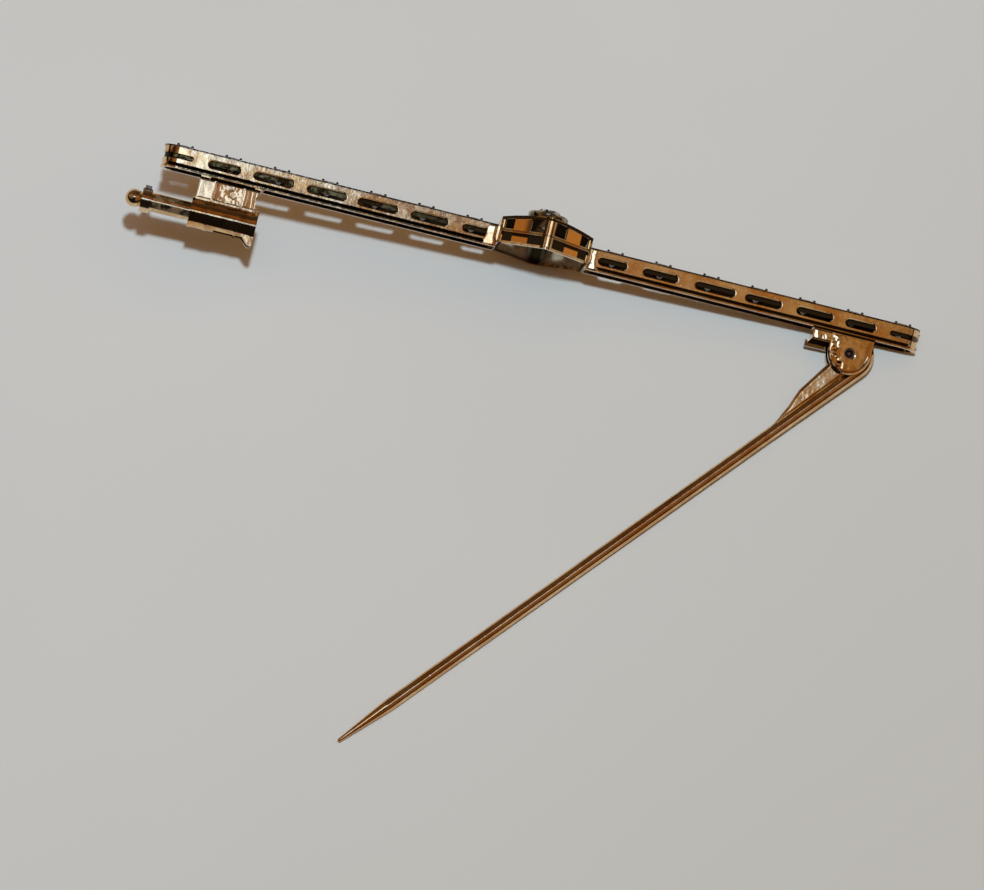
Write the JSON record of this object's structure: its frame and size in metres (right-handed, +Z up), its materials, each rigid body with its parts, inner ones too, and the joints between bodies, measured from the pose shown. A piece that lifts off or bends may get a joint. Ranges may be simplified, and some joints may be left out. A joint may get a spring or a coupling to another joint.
{
  "type": "bar brooch",
  "caption": "Gold bar brooch with a white metal face and a row of clear stones, lying on its side with its hinged pin swung open and its safety catch pulled out.",
  "frame": {"origin": "middle of the box round the laid brooch, on the surface it lies on", "axes": "+X along the bar from the catch to the hinge, +Y from the pin's side to the face of the bar, +Z up"},
  "size_m": [0.0616, 0.0434, 0.0113],
  "materials": {
    "yellow_gold": "polished yellow gold with fine wear",
    "clear_stone": "clear cut stone"
  },
  "bodies": {
    "brooch": {"frame": "yellow_gold", "hinge_rivet": "yellow_gold", "centre_stone": "clear_stone", "stone_left_1": "clear_stone", "stone_left_2": "clear_stone", "stone_left_3": "clear_stone", "stone_left_4": "clear_stone", "stone_left_5": "clear_stone", "stone_left_6": "clear_stone", "stone_left_7": "clear_stone", "stone_right_1": "clear_stone", "stone_right_2": "clear_stone", "stone_right_3": "clear_stone", "stone_right_4": "clear_stone", "stone_right_5": "clear_stone", "stone_right_6": "clear_stone", "stone_right_7": "clear_stone"},
    "swinging_pin": {"pin": "yellow_gold"},
    "safety_slide": {"catch_slide": "yellow_gold"}
  },
  "joints": [
    {"name": "pin_hinge", "type": "hinge", "parent": "brooch", "child": "swinging_pin", "pos_m": [0.02572, 0.01639, 0.00163], "axis": [0.1427, -0.1518, 0.9781], "range_deg": [-49.1, 12]},
    {"name": "catch_pull", "type": "slide", "parent": "brooch", "child": "safety_slide", "axis": [0.9895, 0, -0.1444], "range_m": [0, 0.003]}
  ]
}
